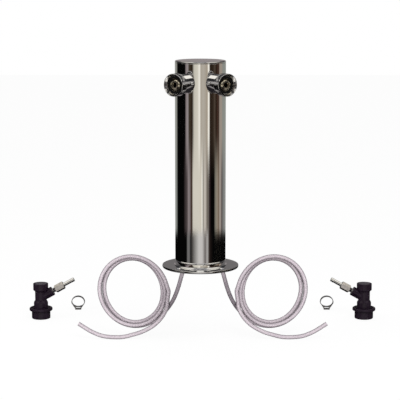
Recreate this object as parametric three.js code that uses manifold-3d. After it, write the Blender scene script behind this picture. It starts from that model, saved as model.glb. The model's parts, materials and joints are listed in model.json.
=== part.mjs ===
// A two-tap beer tower in polished steel, as it comes in its box: a capped column on a round
// screw-down base, two radial shanks with coupling nuts, a coiled beer line hanging from each,
// and, loose beside it, two keg couplers and two line clamps.
// Millimetres, +Z up. The origin is the middle of the base, on the worktop that carries it.
// The shanks point to the front, which is -Y, and the loose pieces stand behind.
import * as THREE from 'three';
import { mergeVertices } from 'three/addons/utils/BufferGeometryUtils.js';
import Module from 'manifold-3d';

const wasm = await Module();
wasm.setup();

// Clearances
const fit = 0.3; // between pieces that touch
const slip = 0.5; // between pieces that slide or turn on each other
const overrun = 2; // how far a cutter passes the face it cuts
const weld = 0.001; // vertices nearer than this are one

// Base
const gasketThickness = 1;
const flangeDiameter = 115.4;
const flangeThickness = 2.5;
const flangeEdge = 0.4;
const neckHeight = 8.5;
const neckBead = 0.9;
const footFillet = 2.5;
const screwCircle = 94;
const screwHole = 5.5;
const screwSink = 9.5;

// Column and cap
const columnDiameter = 76.2;
const columnWall = 1.5;
const capThickness = 3;
const capEdge = 1.5;
const capSkirt = 10;
const capSkirtWall = 1.5;
const foamThickness = 6;
const foamStart = 40;

// Taps, measured out from the column's axis
const tapHeight = 281;
const tapAngle = THREE.MathUtils.degToRad(34);
const columnAboveTaps = 28.8;
const foamBelowTaps = 56;
const shankDiameter = 22.2;
const shankBore = 6.2;
const washerDepth = 6.2;
const washerSeat = columnDiameter / 2 - washerDepth;
const shankBehindWasher = 10.4;
const shankRear = washerSeat - shankBehindWasher;
const socketDepth = 6;
const nutDiameter = 33.6;
const nutLength = 12.5;
const nutMouth = 32.4;
const nutThread = 27.2;
const nutBevelDepth = 4.6;
const nutLip = 1.6;
const nutChamfer = 0.8;
const spannerHole = 5;
const spannerDepth = 1.6;
const spannerHoles = 6;
const shankFlange = 26.2;
const shankFlangeThickness = 3.2;
const noseDiameter = 18.4;
const noseSetback = 4.2;
const noseRound = 3.2;
const noseDish = 1.2;
const collarDiameter = 28.5;
const collarLength = 20.8;
const tapReach = columnDiameter / 2 + collarLength + nutLength;
const washerDiameter = 30;
const lockNutFlats = 28;
const lockNutThickness = 5.6;
const seatWasherThickness = 1.2;

// Tail pipe soldered into each shank, bent down to take the line
const pipeDiameter = 3.7;
const pipeBore = 2.4;
const pipeBend = 8;
const pipeStraight = 3.5;
const pipeDrop = 34;
const pipeReach = shankRear - pipeStraight - pipeBend;

// Beer line
const lineDiameter = 6.35;
const lineBore = 4.3;
const lineTopBelowTaps = 26;
const lineTop = tapHeight - lineTopBelowTaps;
const clampWidth = 6;
const clampBand = 0.7;
const clampEar = 2.2;
const clampBelowLineTop = 13;

// Coil of line: its middle, its mean turn, how far the line strays from that, and how the
// turns are stacked
const kitAxis = 3.5; // the lines and loose pieces are mirrored about this, not the column
const coilOut = 109.1;
const coilBack = 86;
const coilDrop = 57.3;
const coilRadius = 51;
const coilOval = 2.3;
const ovalHeading = THREE.MathUtils.degToRad(122);
const strayMean = 3.9;
const strayMore = 0.85;
const lobeHeading = THREE.MathUtils.degToRad(240);
const waistHeading = THREE.MathUtils.degToRad(175);
const stackStart = 13.7;
const stackPitch = 7.2;
const stackDip = THREE.MathUtils.degToRad(9.4);
const coilLean = THREE.MathUtils.degToRad(15.6);
const coilStart = THREE.MathUtils.degToRad(-62);
const coilPhase = THREE.MathUtils.degToRad(9);
const headingStep = THREE.MathUtils.degToRad(0.1);
const stepsPerLoop = 24;
const coilSteps = 91;

// Keg couplers and clamps, standing loose on the level that the lines hang down to
const standLevel = -126;
const couplerOut = 266.5;
const couplerBack = 186;
const skirtDiameter = 30.4;
const skirtHeight = 13;
const skirtRound = 2;
const rimDiameter = 37.8;
const rimHeight = 5;
const rimRound = 2.4;
const rimLip = 2.2;
const rimDish = 1.3;
const cageDiameter = 21.8;
const cageBore = 18.2;
const cageLip = 24.4;
const cageLipHeight = 0.8;
const cageStart = 0.8;
const shoulderDiameter = 25.6;
const shoulderStart = 17.2;
const shoulderHeight = 1.3;
const collarBore = 26.8;
const ledgeHeight = 5.5;
const ballDiameter = 3.2;
const ballHeight = 3.7;
const balls = 3;
const stepDiameter = 23.2;
const stepHeight = 27.1;
const stepTaper = 3.7;
const trunkDiameter = 18.9;
const couplerHeight = 58.5;
const headLength = 13.2;
const headDiameter = 24.6;
const headTaper = 2.4;
const headStart = couplerHeight - headLength;
const headEdge = 0.5;
const webStart = 16;
const webEnd = 20;
const chamberDiameter = 15;
const headRecess = 20.4;
const headRecessDepth = 3.2;
const plugStem = 14;
const plugLength = 17.5;
const plugEnd = couplerHeight - plugLength;
const plugSlot = 2.2;
const plugSlotDepth = 1.4;
const sealDiameter = 14.4;
const sealThickness = 2;
const sealDepth = 7.5;
const sealHeight = couplerHeight - sealDepth;
const pinDiameter = 3.6;
const pinStart = 6.5;
const pinHead = 9.2;
const pinHeadHeight = 2.4;
const pinGuide = 3;
const pinGuideLength = 5;
const armAngle = THREE.MathUtils.degToRad(29);
const armBelowHead = 10.4;
const armStart = headStart - armBelowHead;
const armDiameter = 15.2;
const armEdge = 0.8;
const armLength = 22.9;
const armBore = 4;
const collarWire = 1;
const pinWire = 0.8;
const springCurls = 4;
const curlSteps = 8;

// Swivel nut and barb on the arm, measured along it
const stemDiameter = 6.4;
const stemInset = 6;
const stemThread = 8.8;
const stemCone = 4;
const nutGap = 5.2;
const stemBeyondArm = 13.9;
const stemEnd = armLength + stemBeyondArm;
const stemNose = 4.8;
const swivelFlats = 11.5;
const swivelLength = 15.4;
const swivelShoulder = 4.2;
const swivelChamfer = 1.2;
const barbDiameter = 6.3;
const barbBeyondArm = 40.1;
const barbTip = armLength + barbBeyondArm;
const barbHead = 8.4;
const barbHeadThickness = 0.8;
const barbRidge = 0.3;
const barbRidgeLength = 2.6;
const barbRidges = 2;
const flareWasherThickness = 0.8;

// Loose line clamps, with heights measured down from the middle of the band
const looseClampOut = 210;
const looseClampBack = 247.2;
const looseClampDiameter = 22.6;
const looseClampRise = 10;
const looseClampBand = 1.1;
const looseClampWidth = 7;
const lowerBore = 7.9;
const legStart = THREE.MathUtils.degToRad(12);
const earWidth = 10.4;
const earBase = 9.8;
const earTop = 10.9;
const earBottom = 13.1;
const earSlotTop = 8.7;
const earSlotBottom = 11.2;
const earSlotWidth = 8;

// The stretches of line. Each row is the distance out from the kit's axis, the distance back
// from the column's axis, and the height. The hidden stretch is out from the column's axis,
// and it leans over to the kit's axis on its way down. Inside the column its places are
// shares of the column's radius, and its heights are shares of the line's top.
const exitOutShare = 0.722;
const exitBackShare = 0.105;
const exitOut = (exitOutShare * columnDiameter) / 2;
const exitBack = (exitBackShare * columnDiameter) / 2;
const leadOut = 4;
const leadBack = 2.1;
const leadDown = 13.4;
const leanStartShare = 0.91;
const hiddenHeightShares = [0.745, 0.51, 0.275];
const hiddenPlaceShares = [[0.197, -0.184], [0.302, -0.105], [0.446, -0.013]];
const underPipe = [pipeReach * Math.sin(tapAngle), -pipeReach * Math.cos(tapAngle)];
const hiddenRoute = [
  [...underPipe, lineTop],
  [...underPipe, leanStartShare * lineTop],
  ...hiddenPlaceShares.map(([out, back], i) => [
    (out * columnDiameter) / 2, (back * columnDiameter) / 2, hiddenHeightShares[i] * lineTop,
  ]),
  [exitOut - leadOut, exitBack - leadBack, leadDown + fit],
  [exitOut, exitBack, fit],
];
const dropRoute = [
  [exitOut, exitBack, 0],
  [exitOut + leadOut, exitBack + leadBack, -leadDown],
  [38.6, 30, -42.2],
  [47.2, 60, -68.2],
  [57.9, 84, -88.6],
];
const tailRoute = [
  [54.6, 68.5, -64.6],
  [57.1, 60.5, -80.8],
  [63.9, 54.5, -92.6],
  [71.5, 50.5, -100.4],
  [79, 48.5, -106.1],
  [94.2, 46.3, -113.8],
  [109.9, 46, -118.9],
  [125.1, 45.8, -122.3],
  [141, 45.5, -122.5],
  [156.9, 45.5, -120.4],
  [172.8, 46.2, -114.2],
  [194, 49, -101.7],
];

// Finishes
const polished = new THREE.MeshStandardMaterial({ color: 0xd3d5d6, metalness: 1, roughness: 0.1 });
const nickel = new THREE.MeshStandardMaterial({ color: 0xb9ab8d, metalness: 1, roughness: 0.2 });
const steel = new THREE.MeshStandardMaterial({ color: 0xb8bab8, metalness: 1, roughness: 0.3 });
const vinyl = new THREE.MeshStandardMaterial({ color: 0xc9bcc4, metalness: 0, roughness: 0.2 });
const black = new THREE.MeshStandardMaterial({ color: 0x1c181c, metalness: 0, roughness: 0.35 });
const rubber = new THREE.MeshStandardMaterial({ color: 0x17171a, metalness: 0, roughness: 0.8 });
const foam = new THREE.MeshStandardMaterial({ color: 0x3a3a3c, metalness: 0, roughness: 0.95 });
const nylon = new THREE.MeshStandardMaterial({ color: 0xe6e3da, metalness: 0, roughness: 0.5 });

// An outline of radius and height, turned about the upright axis. It starts and ends on the
// axis, or is closed here.
function turned(outline, sides) {
  const rows = outline[0][0] > 0 ? [...outline, outline[0]] : outline;
  const points = rows.map(([radius, height]) => new THREE.Vector2(radius, height));
  if (THREE.ShapeUtils.area(points) < 0) points.reverse();
  return new THREE.LatheGeometry(points, sides).rotateX(Math.PI / 2);
}

// A quarter round as outline rows, from one angle to another about a middle.
function quarter(radius, middle, from, to, steps) {
  return Array.from({ length: steps + 1 }, (_, i) => {
    const angle = from + ((to - from) * i) / steps;
    return [middle[0] + radius * Math.cos(angle), middle[1] + radius * Math.sin(angle)];
  });
}

// A round bar along the upright axis.
function rod(radius, from, to, sides) {
  return new THREE.CylinderGeometry(radius, radius, to - from, sides)
    .rotateX(Math.PI / 2)
    .translate(0, 0, (from + to) / 2);
}

// A hexagonal bar along the upright axis, with two corners on the Y axis.
function hexBar(flats, from, to) {
  return rod(flats / Math.sqrt(3), from, to, 6);
}

function polygon(radius, sides) {
  return Array.from({ length: sides }, (_, i) => {
    const angle = (2 * Math.PI * i) / sides;
    return new THREE.Vector2(radius * Math.cos(angle), radius * Math.sin(angle));
  });
}

// A round section, hollow if it has a bore, drawn along a curve.
function tube(curve, radius, bore, sides, steps) {
  const section = new THREE.Shape(polygon(radius, sides));
  if (bore > 0) section.holes.push(new THREE.Path(polygon(bore, sides)));
  return new THREE.ExtrudeGeometry(section, { steps, extrudePath: curve, bevelEnabled: false });
}

// One unbroken tube through the points of a coil or spring, with a flat face at each end.
function wound(points, radius, sides) {
  const last = points.length - 1;
  const positions = [];
  const faces = [];
  let across = null;
  points.forEach((point, i) => {
    const ahead = points[Math.min(i + 1, last)];
    const behind = points[Math.max(i - 1, 0)];
    const along = ahead.clone().sub(behind).normalize();
    if (!across) across = new THREE.Vector3(along.y, -along.x, 0).normalize();
    across.addScaledVector(along, -across.dot(along)).normalize();
    const beside = along.clone().cross(across);
    for (const { x, y } of polygon(radius, sides)) {
      positions.push(point.clone().addScaledVector(across, x).addScaledVector(beside, y));
    }
  });
  for (let i = 0; i < last; i += 1) {
    for (let j = 0; j < sides; j += 1) {
      const a = i * sides + j;
      const b = i * sides + ((j + 1) % sides);
      faces.push(a, b, b + sides, a, b + sides, a + sides);
    }
  }
  for (let j = 1; j < sides - 1; j += 1) {
    faces.push(0, j + 1, j);
    faces.push(last * sides, last * sides + j, last * sides + j + 1);
  }
  return new THREE.BufferGeometry().setFromPoints(positions).setIndex(faces);
}

// The least gap between stretches of a wound tube that lie half a loop or more apart.
function leastGap(points, diameter, loopSteps) {
  let least = Infinity;
  points.forEach((point, i) => {
    for (let j = i + Math.ceil(loopSteps / 2); j < points.length; j += 1) {
      least = Math.min(least, point.distanceTo(points[j]) - diameter);
    }
  });
  return least;
}

// Solids for joining and cutting
function solid(geometry) {
  const bare = geometry.clone();
  bare.deleteAttribute('normal');
  bare.deleteAttribute('uv');
  const merged = mergeVertices(bare, weld);
  return new wasm.Manifold(new wasm.Mesh({
    numProp: 3,
    vertProperties: merged.attributes.position.array,
    triVerts: new Uint32Array(merged.index.array),
  }));
}

function geometryOf(made) {
  const mesh = made.getMesh();
  const geometry = new THREE.BufferGeometry();
  geometry.setAttribute('position', new THREE.BufferAttribute(mesh.vertProperties, 3));
  geometry.setIndex(new THREE.BufferAttribute(mesh.triVerts, 1));
  geometry.computeVertexNormals();
  return geometry;
}

function shaped(body, joined, cutters) {
  let made = solid(body);
  for (const piece of joined) made = made.add(solid(piece));
  for (const cutter of cutters) made = made.subtract(solid(cutter));
  return geometryOf(made);
}

function add(group, name, geometry, material) {
  const mesh = new THREE.Mesh(geometry, material);
  mesh.name = name;
  group.add(mesh);
}

const tower = new THREE.Group();
const columnRadius = columnDiameter / 2;
const columnInner = columnRadius - columnWall;
const flangeTop = gasketThickness + flangeThickness;
const neckTop = flangeTop + neckHeight;
const columnTop = tapHeight + columnAboveTaps;

// Screw holes through the base, with a sink in the flange's top face
function screwCutters(top, sink) {
  const hole = screwHole / 2;
  const wide = hole + sink;
  const outline = [
    [0, -overrun],
    [hole, -overrun],
    [hole, top - sink],
    [wide, top],
    [wide, top + overrun],
    [0, top + overrun],
  ];
  const cutter = turned(outline, 8).translate(screwCircle / 2, 0, 0);
  return [1, 3, 5, 7].map((i) => cutter.clone().rotateZ((i * Math.PI) / 4));
}

function buildBase() {
  const outer = flangeDiameter / 2;
  const foot = columnRadius + footFillet;
  const outline = [
    [columnInner, gasketThickness],
    [outer, gasketThickness],
    ...quarter(flangeEdge, [outer - flangeEdge, flangeTop - flangeEdge], 0, Math.PI / 2, 2),
    ...quarter(footFillet, [foot, flangeTop + footFillet], -Math.PI / 2, -Math.PI, 2),
    [columnRadius, neckTop - 2 * neckBead],
    [columnRadius + neckBead, neckTop - neckBead],
    [columnRadius, neckTop],
    [columnInner, neckTop],
  ];
  const sink = (screwSink - screwHole) / 2;
  const flange = shaped(turned(outline, 32), [], screwCutters(flangeTop, sink));
  add(tower, 'base_flange', flange, polished);
  const pad = [
    [columnInner, 0],
    [outer - flangeEdge, 0],
    [outer - flangeEdge, gasketThickness],
    [columnInner, gasketThickness],
  ];
  add(tower, 'base_gasket', shaped(turned(pad, 32), [], screwCutters(gasketThickness, 0)), rubber);
}

// Each tap has a group whose Z axis points out along the shank and whose Y axis is up.
function tapGroup(side) {
  const group = new THREE.Group();
  group.position.set(0, 0, tapHeight);
  group.rotation.set(Math.PI / 2, 0, side * tapAngle, 'ZXY');
  group.updateMatrix();
  return group;
}

function buildColumn(taps) {
  const wall = [
    [columnInner, neckTop],
    [columnRadius, neckTop],
    [columnRadius, columnTop],
    [columnInner, columnTop],
  ];
  const hole = shankDiameter / 2 + slip;
  const holes = taps.map((tap) => rod(hole, washerSeat, columnRadius + overrun, 24)
    .applyMatrix4(tap.matrix));
  add(tower, 'tower_column', shaped(turned(wall, 48), [], holes), polished);

  const top = columnTop + capThickness;
  const skirt = columnInner - fit;
  const cap = [
    [0, top],
    ...quarter(capEdge, [columnRadius - capEdge, top - capEdge], Math.PI / 2, 0, 3),
    [columnRadius, columnTop],
    [skirt, columnTop],
    [skirt, columnTop - capSkirt],
    [skirt - capSkirtWall, columnTop - capSkirt],
    [skirt - capSkirtWall, columnTop],
    [0, columnTop],
  ];
  add(tower, 'top_cap', turned(cap, 32), polished);

  const foamOuter = columnInner - fit;
  const foamEnd = tapHeight - foamBelowTaps;
  const sleeve = [
    [foamOuter - foamThickness, foamStart],
    [foamOuter, foamStart],
    [foamOuter, foamEnd],
    [foamOuter - foamThickness, foamEnd],
  ];
  add(tower, 'foam_sleeve', turned(sleeve, 16), foam);
}

// The round nut that will hold a tap, loose on the shank behind its front flange
function couplingNut() {
  const outer = nutDiameter / 2;
  const rear = tapReach - nutLength;
  const outline = [
    [shankDiameter / 2 + fit, rear],
    [outer - nutChamfer, rear],
    [outer, rear + nutChamfer],
    [outer, tapReach - nutChamfer],
    [nutMouth / 2, tapReach],
    [nutThread / 2, tapReach - nutBevelDepth],
    [nutThread / 2, rear + nutLip],
    [shankDiameter / 2 + fit, rear + nutLip],
  ];
  const holes = Array.from({ length: spannerHoles }, (_, i) => (
    rod(spannerHole / 2, outer - spannerDepth, outer + overrun, 6)
      .rotateY(Math.PI / 2)
      .translate(0, 0, rear + nutLength / 2)
      .rotateZ((Math.PI * (2 * i + 1)) / spannerHoles)));
  return shaped(turned(outline, 24), [], holes);
}

// The shank: a threaded bar with a flange and a rounded nose at the front, bored through
function shankBody() {
  const bore = shankBore / 2;
  const flangeRear = tapReach - nutLength + nutLip + fit;
  const flangeFront = flangeRear + shankFlangeThickness;
  const front = tapReach - noseSetback;
  const nose = noseDiameter / 2;
  const socket = pipeDiameter / 2 + fit;
  const outline = [
    [socket, shankRear],
    [shankDiameter / 2, shankRear],
    [shankDiameter / 2, flangeRear],
    [shankFlange / 2, flangeRear],
    [shankFlange / 2, flangeFront],
    [nose, flangeFront],
    ...quarter(noseRound, [nose - noseRound, front - noseRound], 0, Math.PI / 2, 2),
    [bore + noseDish, front],
    [bore, front - noseDish],
    [bore, shankRear + socketDepth],
    [socket, shankRear + socketDepth],
  ];
  return turned(outline, 20);
}

function seatWasher() {
  const flangeFront = tapReach - nutLength + nutLip + fit + shankFlangeThickness;
  const outline = [
    [noseDiameter / 2 + fit, flangeFront + fit],
    [shankFlange / 2, flangeFront + fit],
    [shankFlange / 2, flangeFront + fit + seatWasherThickness],
    [noseDiameter / 2 + fit, flangeFront + fit + seatWasherThickness],
  ];
  return turned(outline, 20);
}

// The polished sleeve from the column to the nut, cut to the column's curve
function shankCollar() {
  const outer = collarDiameter / 2;
  const bore = shankDiameter / 2 + slip;
  const front = tapReach - nutLength - fit;
  const outline = [
    [bore, washerSeat],
    [outer, washerSeat],
    [outer, front - nutChamfer],
    [outer - nutChamfer, front],
    [bore, front],
  ];
  const seat = columnRadius + fit;
  const column = new THREE.CylinderGeometry(seat, seat, 2 * collarDiameter, 48);
  return shaped(turned(outline, 24), [], [column]);
}

// The inside washer: flat to the lock nut, curved to the column's inner wall
function saddleWasher() {
  const bore = shankDiameter / 2 + fit;
  const inner = columnInner - fit;
  const blank = turned([
    [bore, washerSeat],
    [washerDiameter / 2, washerSeat],
    [washerDiameter / 2, columnRadius],
    [bore, columnRadius],
  ], 20);
  const inside = new THREE.CylinderGeometry(inner, inner, 2 * washerDiameter, 48);
  return geometryOf(solid(blank).intersect(solid(inside)));
}

function lockNut() {
  const end = washerSeat - fit;
  const bar = hexBar(lockNutFlats, end - lockNutThickness, end);
  const hole = rod(shankDiameter / 2 + fit, end - lockNutThickness - overrun, end + overrun, 20);
  return shaped(bar, [], [hole]);
}

// The tail pipe leaves the shank's rear socket, bends down and ends inside the line.
function tailPipe() {
  const start = shankRear + socketDepth - fit;
  const bendStart = shankRear - pipeStraight;
  const axis = pipeReach;
  const path = new THREE.CurvePath();
  const corner = new THREE.Vector3(0, 0, axis);
  const bendIn = new THREE.Vector3(0, 0, bendStart);
  const bendOut = new THREE.Vector3(0, -pipeBend, axis);
  path.add(new THREE.LineCurve3(new THREE.Vector3(0, 0, start), bendIn));
  path.add(new THREE.QuadraticBezierCurve3(bendIn, corner, bendOut));
  path.add(new THREE.LineCurve3(bendOut, new THREE.Vector3(0, -pipeBend - pipeDrop, axis)));
  return tube(path, pipeDiameter / 2, pipeBore / 2, 6, 9);
}

// An ear clamp round the line where it is pushed on to the tail pipe
function tailClamp(side) {
  const inner = lineDiameter / 2 + fit;
  const outer = inner + clampBand;
  const [out, back, lineEnd] = hiddenRoute[0];
  const clampHeight = lineEnd - clampBelowLineTop;
  const ring = turned([
    [inner, clampHeight],
    [outer, clampHeight],
    [outer, clampHeight + clampWidth],
    [inner, clampHeight + clampWidth],
  ], 12);
  const ear = new THREE.BoxGeometry(clampEar, clampEar, clampWidth)
    .translate(side * (inner + clampEar / 2 + clampBand / 2), 0, clampHeight + clampWidth / 2);
  return shaped(ring, [ear], []).translate(side * out, back, 0);
}

function buildTap(name, side, tap) {
  add(tap, `shank_${name}`, shankBody(), nickel);
  add(tap, `shank_collar_${name}`, shankCollar(), polished);
  add(tap, `coupling_nut_${name}`, couplingNut(), polished);
  add(tap, `seat_washer_${name}`, seatWasher(), rubber);
  add(tap, `saddle_washer_${name}`, saddleWasher(), steel);
  add(tap, `lock_nut_${name}`, lockNut(), steel);
  add(tap, `tail_pipe_${name}`, tailPipe(), steel);
  add(tower, `tail_clamp_${name}`, tailClamp(side), steel);
  tower.add(tap);
}

// A point given as out, back and height, on the left or the right
function kitPoint(side, [out, back, height]) {
  return new THREE.Vector3(kitAxis + side * out, back, height);
}

// The coil's turns are slightly oval and lean back at the top. They are stacked from the back
// to the front, and the line strays in and out as it does in a coil wound by hand.
function coilPoint(side, travel) {
  const angle = coilStart - travel;
  const oval = coilOval * Math.cos(2 * (angle - ovalHeading));
  const lobes = Math.cos(angle - lobeHeading) + Math.cos(2 * (angle - waistHeading));
  const stray = (strayMean + strayMore * lobes) * Math.cos(coilPhase + travel / 4);
  const radius = coilRadius + oval + stray;
  const rise = radius * Math.sin(angle);
  const behind = stackStart - (stackPitch * travel) / (2 * Math.PI) + rise * Math.tan(coilLean);
  return kitPoint(side, [
    coilOut - radius * Math.cos(angle),
    coilBack + rise * Math.sin(stackDip) + behind * Math.cos(stackDip),
    rise * Math.cos(stackDip) - behind * Math.sin(stackDip) - coilDrop,
  ]);
}

// The direction of travel, from two points close together
function coilHeading(side, travel) {
  const ahead = coilPoint(side, travel + headingStep);
  return ahead.sub(coilPoint(side, travel - headingStep)).normalize();
}

function buildLine(name, side) {
  const radius = lineDiameter / 2;
  const hidden = hiddenRoute.map(([out, back, height]) => {
    const leant = Math.max(0, 1 - height / (leanStartShare * lineTop));
    return new THREE.Vector3(side * out + kitAxis * leant, back, height);
  });
  const inside = tube(new THREE.CatmullRomCurve3(hidden), radius, lineBore / 2, 8, 9);
  add(tower, `line_hidden_${name}`, inside, vinyl);

  const full = (2 * Math.PI * coilSteps) / stepsPerLoop;
  const turns = Array.from({ length: coilSteps + 1 }, (_, i) => (
    coilPoint(side, (2 * Math.PI * i) / stepsPerLoop)));
  const heading = coilHeading(side, 0);
  const leaving = coilHeading(side, full);
  const first = turns[0].clone().addScaledVector(heading, -lineDiameter);
  const final = turns[coilSteps].clone().addScaledVector(leaving, lineDiameter);
  const coil = [first, ...turns, final];
  const gap = leastGap(turns, lineDiameter, stepsPerLoop);
  console.log(`line_coil_${name}: least gap ${gap.toFixed(2)} mm`);
  add(tower, `line_coil_${name}`, wound(coil, radius, 6), vinyl);

  const ends = [lineDiameter + fit, fit];
  const drop = new THREE.CatmullRomCurve3([
    ...dropRoute.map((row) => kitPoint(side, row)),
    ...ends.map((back) => first.clone().addScaledVector(heading, -back)),
  ]);
  add(tower, `line_drop_${name}`, tube(drop, radius, 0, 10, 10), vinyl);

  const tail = new THREE.CatmullRomCurve3([
    ...ends.reverse().map((on) => final.clone().addScaledVector(leaving, on)),
    ...tailRoute.map((row) => kitPoint(side, row)),
  ]);
  add(tower, `line_tail_${name}`, tube(tail, radius, 0, 10, 14), vinyl);

  const coiled = coil.slice(1).reduce((sum, point, i) => sum + point.distanceTo(coil[i]), 0);
  const length = drop.getLength() + coiled + tail.getLength();
  console.log(`line_${name}: ${length.toFixed(0)} mm from the base to its free end`);
}

// A spring of a wire, wound upwards between two heights
function spring(meanRadius, wire, from, to) {
  const steps = springCurls * curlSteps;
  const rise = to - from - wire;
  const points = Array.from({ length: steps + 1 }, (_, i) => {
    const angle = (2 * Math.PI * i) / curlSteps;
    return new THREE.Vector3(
      meanRadius * Math.cos(angle),
      meanRadius * Math.sin(angle),
      from + wire / 2 + (rise * i) / steps,
    );
  });
  const lead = new THREE.Vector3(0, wire, 0);
  const ends = [points[0].clone().sub(lead), points[steps].clone().add(lead)];
  console.log(`spring: least gap ${leastGap(points, wire, curlSteps).toFixed(2)} mm`);
  return wound([ends[0], ...points, ends[1]], wire / 2, 5);
}

// The coupler's moulded body: ball cage, shoulder, trunk, head and side arm, bored for the
// keg's post, the poppet and the beer
function couplerBody() {
  const cage = cageDiameter / 2;
  const shoulder = shoulderDiameter / 2;
  const step = stepDiameter / 2;
  const trunk = trunkDiameter / 2;
  const head = headDiameter / 2;
  const shoulderEnd = shoulderStart + shoulderHeight;
  const shell = turned([
    [0, cageStart],
    [cageLip / 2, cageStart],
    [cageLip / 2, cageStart + cageLipHeight],
    [cage, cageStart + cageLipHeight],
    [cage, shoulderStart],
    [shoulder, shoulderStart],
    [shoulder, shoulderEnd],
    [step, shoulderEnd],
    [step, stepHeight],
    [trunk, stepHeight + stepTaper],
    [trunk, headStart],
    [head, headStart + headTaper],
    [head, couplerHeight - headEdge],
    [head - headEdge, couplerHeight],
    [0, couplerHeight],
  ], 20);
  const arm = turned([
    [0, 0],
    [armDiameter / 2, 0],
    [armDiameter / 2, armLength - armEdge],
    [armDiameter / 2 - armEdge, armLength],
    [0, armLength],
  ], 16).rotateY(Math.PI / 2 - armAngle).translate(0, 0, armStart);
  const recess = turned([
    [0, webEnd],
    [chamberDiameter / 2, webEnd],
    [chamberDiameter / 2, couplerHeight - headRecessDepth],
    [headRecess / 2, couplerHeight - headRecessDepth],
    [headRecess / 2, couplerHeight + overrun],
    [0, couplerHeight + overrun],
  ], 20);
  const ballHoles = Array.from({ length: balls }, (_, i) => (
    rod(ballDiameter / 2 + fit, 0, cage + overrun, 6)
      .rotateY(Math.PI / 2)
      .translate(0, 0, ballHeight)
      .rotateZ((2 * Math.PI * i) / balls)));
  const armHole = rod(armBore / 2, 0, armLength + overrun, 8);
  const stemHole = rod(stemDiameter / 2 + fit, armLength - stemInset, armLength + overrun, 12);
  return shaped(shell, [arm], [
    rod(cageBore / 2, 0, webStart, 20),
    rod(pinDiameter / 2 + slip, 0, webEnd + overrun, 12),
    recess,
    ...ballHoles,
    ...[armHole, stemHole].map((hole) => hole
      .rotateY(Math.PI / 2 - armAngle)
      .translate(0, 0, armStart)),
  ]);
}

// The sprung collar that frees the balls when it is pulled up
function releaseCollar() {
  const skirt = skirtDiameter / 2;
  const rim = rimDiameter / 2;
  const bore = cageDiameter / 2 + slip;
  const wide = collarBore / 2;
  const mouth = cageLip / 2 + slip;
  const mouthTop = cageStart + cageLipHeight + fit;
  const top = skirtHeight + rimHeight;
  return turned([
    [mouth, 0],
    ...quarter(skirtRound, [skirt - skirtRound, skirtRound], -Math.PI / 2, 0, 1),
    [skirt, skirtHeight],
    ...quarter(rimRound, [rim - rimRound, skirtHeight + rimRound], -Math.PI / 2, 0, 2),
    ...quarter(rimLip, [rim - rimLip, top - rimLip], 0, Math.PI / 2, 2),
    [skirt, top - rimDish],
    [wide, top - rimDish],
    [wide, ledgeHeight],
    [bore, ledgeHeight],
    [bore, mouthTop],
    [mouth, mouthTop],
  ], 20);
}

function capPlug() {
  const recess = headRecess / 2 - fit;
  const seat = couplerHeight - headRecessDepth + fit;
  const stem = plugStem / 2;
  const groove = stem - sealThickness;
  const plug = turned([
    [0, plugEnd],
    [stem, plugEnd],
    [stem, sealHeight - fit],
    [groove, sealHeight - fit],
    [groove, sealHeight + sealThickness + fit],
    [stem, sealHeight + sealThickness + fit],
    [stem, seat],
    [recess, seat],
    [recess, couplerHeight - headEdge],
    [recess - headEdge, couplerHeight],
    [0, couplerHeight],
  ], 16);
  const slot = new THREE.BoxGeometry(headRecess + overrun, plugSlot, 2 * plugSlotDepth)
    .translate(0, 0, couplerHeight);
  return shaped(plug, [], [slot]);
}

// The ring that seals the plug, in its groove
function capSeal() {
  const inner = plugStem / 2 - sealThickness + fit;
  const outer = sealDiameter / 2;
  return turned([
    [inner, sealHeight],
    [outer, sealHeight],
    [outer, sealHeight + sealThickness],
    [inner, sealHeight + sealThickness],
  ], 16);
}

function poppet() {
  const seat = webEnd + fit;
  return turned([
    [0, pinStart],
    [pinDiameter / 2, pinStart],
    [pinDiameter / 2, seat],
    [pinHead / 2, seat],
    [pinHead / 2, seat + pinHeadHeight],
    [pinGuide / 2, seat + pinHeadHeight],
    [pinGuide / 2, seat + pinHeadHeight + pinGuideLength],
    [0, seat + pinHeadHeight + pinGuideLength],
  ], 12);
}

// The pieces on the arm are turned about the arm's axis, from the trunk outwards.
function flareStem() {
  const stem = stemDiameter / 2;
  const thread = stemThread / 2;
  const coneStart = armLength + nutGap - stemCone;
  const nose = stemNose / 2;
  return turned([
    [armBore / 2 - fit, armLength - stemInset + fit],
    [stem, armLength - stemInset + fit],
    [stem, coneStart],
    [thread, coneStart + stemCone],
    [thread, stemEnd - thread + nose],
    [nose, stemEnd],
    [armBore / 2 - fit, stemEnd],
  ], 12);
}

function flareWasher() {
  const start = stemEnd + fit;
  return turned([
    [armBore / 2, start],
    [barbHead / 2, start],
    [barbHead / 2, start + flareWasherThickness],
    [armBore / 2, start + flareWasherThickness],
  ], 12);
}

function swivelNut() {
  const start = armLength + nutGap;
  const end = start + swivelLength;
  const shoulder = end - swivelShoulder;
  const wide = stemThread / 2 + slip;
  const bar = hexBar(swivelFlats, start, end);
  const bore = turned([
    [0, start - overrun],
    [wide, start - overrun],
    [wide, shoulder],
    [barbDiameter / 2 + slip, shoulder],
    [barbDiameter / 2 + slip, end + overrun],
    [0, end + overrun],
  ], 12);
  const rounded = turned([
    [0, start],
    [swivelFlats / 2, start],
    [swivelFlats / 2 + swivelChamfer, start + swivelChamfer],
    [swivelFlats / 2 + swivelChamfer, end - swivelChamfer],
    [swivelFlats / 2, end],
    [0, end],
  ], 12);
  return geometryOf(solid(bar).intersect(solid(rounded)).subtract(solid(bore)));
}

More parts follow.
